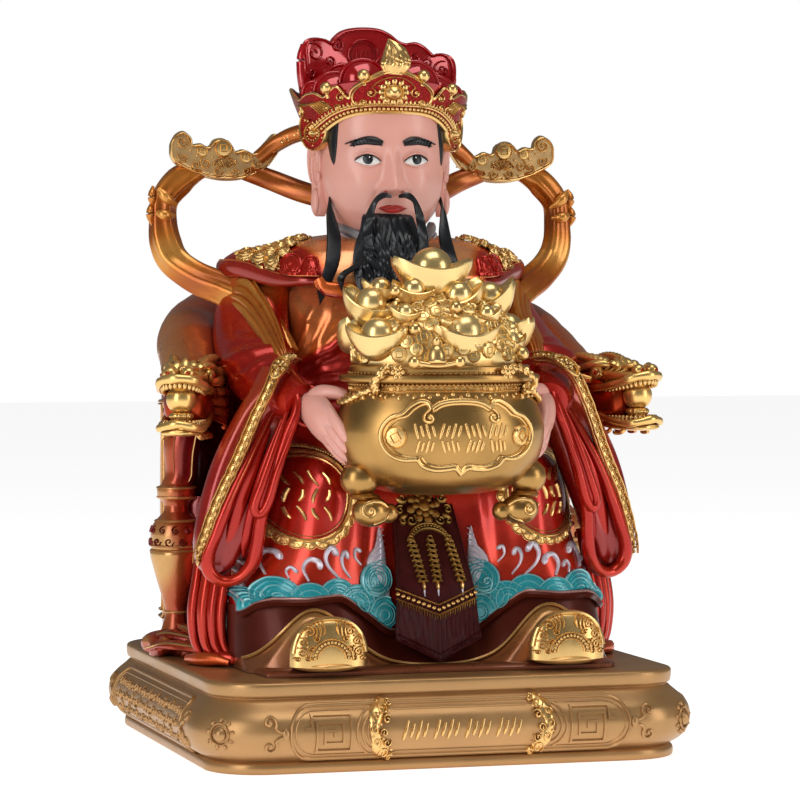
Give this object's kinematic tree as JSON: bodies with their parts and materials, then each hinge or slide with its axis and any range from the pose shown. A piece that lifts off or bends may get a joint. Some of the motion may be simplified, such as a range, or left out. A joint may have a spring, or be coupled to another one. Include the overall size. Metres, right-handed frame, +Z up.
{
  "type": "caishen figure",
  "caption": "Seated bearded wealth-deity statue in layered robes and a tall ornate hat, holding a footed treasure bowl, on a dragon-arm throne and a rounded plinth.",
  "frame": {"origin": "centre of the bounding box at the underside of the plinth", "axes": "+Z up, the figure faces -Y, +X is the viewer's right"},
  "size_m": [0.299, 0.2914, 0.416],
  "materials": {
    "plinth_gold": "satin gold lacquer over cast resin, browner in the recesses",
    "throne_lacquer": "gloss dark red lacquer running to orange-brown and gold, over cast resin",
    "robe_lacquer": "gloss candy red lacquer with gilt, silver and enamelled trim, over cast resin",
    "bowl_gold": "satin gold lacquer with brown recesses, over cast resin",
    "scarf_gilt": "satin orange-gold lacquer over cast resin"
  },
  "bodies": {
    "root": {"plinth": "plinth_gold", "throne": "throne_lacquer", "figure": "robe_lacquer", "treasure_bowl": "bowl_gold", "scarf_left": "scarf_gilt", "scarf_right": "scarf_gilt"}
  },
  "joints": []
}
